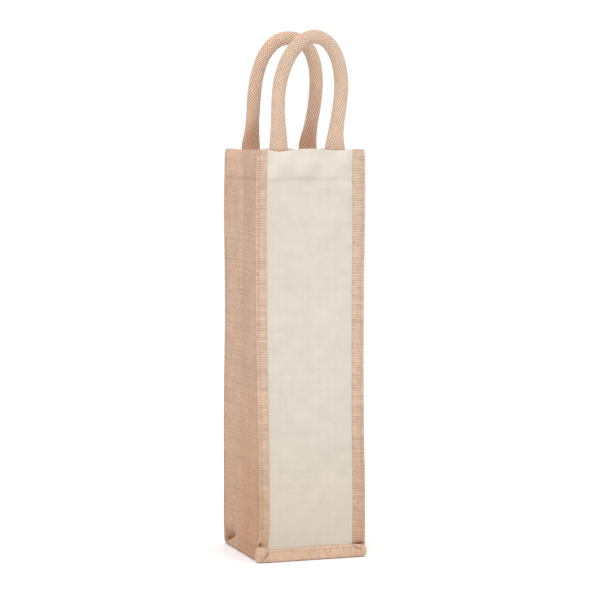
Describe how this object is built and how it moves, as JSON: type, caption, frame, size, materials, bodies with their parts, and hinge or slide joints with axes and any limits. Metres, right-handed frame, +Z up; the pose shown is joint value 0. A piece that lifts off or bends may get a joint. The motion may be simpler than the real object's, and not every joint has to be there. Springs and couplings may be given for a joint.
{
  "type": "wine gift bag",
  "caption": "Tall square jute gift bag for one bottle, with a canvas window front and back, folded borders, a turned-in hem and two padded loop handles that swing.",
  "frame": {"origin": "centre of the underside, on the surface that the bag stands on", "axes": "+Z up through the mouth of the bag, the front canvas faces -Y, +X to the right seen from the front"},
  "size_m": [0.102, 0.1028, 0.4665],
  "materials": {
    "jute_cloth": "coarse plain weave, matte",
    "jute_border": "coarse plain weave, matte, a little lighter",
    "canvas_cloth": "fine plain weave, matte, natural white",
    "handle_webbing": "braided jute sleeve, matte",
    "handle_filling": "twisted cotton rope, matte",
    "sewing_thread": "spun thread, slight sheen"
  },
  "bodies": {
    "bag": {"gusset_and_base": "jute_cloth", "front_canvas": "canvas_cloth", "front_left_border": "jute_border", "front_right_border": "jute_border", "front_bottom_border": "jute_border", "back_canvas": "canvas_cloth", "back_left_border": "jute_border", "back_right_border": "jute_border", "back_bottom_border": "jute_border", "front_handle_left_tab": "handle_webbing", "front_handle_right_tab": "handle_webbing", "back_handle_left_tab": "handle_webbing", "back_handle_right_tab": "handle_webbing", "hem_stitching": "sewing_thread", "front_border_stitching": "sewing_thread", "back_border_stitching": "sewing_thread", "front_left_corner_stitching": "sewing_thread", "front_right_corner_stitching": "sewing_thread", "back_left_corner_stitching": "sewing_thread", "back_right_corner_stitching": "sewing_thread", "front_bottom_stitching": "sewing_thread", "back_bottom_stitching": "sewing_thread", "front_handle_left_tack": "sewing_thread", "front_handle_right_tack": "sewing_thread", "back_handle_left_tack": "sewing_thread", "back_handle_right_tack": "sewing_thread"},
    "front_handle": {"front_handle_sleeve": "handle_webbing", "front_handle_core": "handle_filling"},
    "back_handle": {"back_handle_sleeve": "handle_webbing", "back_handle_core": "handle_filling"}
  },
  "joints": [
    {"name": "front_handle_swing", "type": "hinge", "parent": "bag", "child": "front_handle", "pos_m": [0, -0.0477, 0.3616], "axis": [1, 0, 0], "range_deg": [-22, 165]},
    {"name": "back_handle_swing", "type": "hinge", "parent": "bag", "child": "back_handle", "pos_m": [0, 0.0477, 0.3616], "axis": [-1, 0, 0], "range_deg": [-22, 165]}
  ]
}
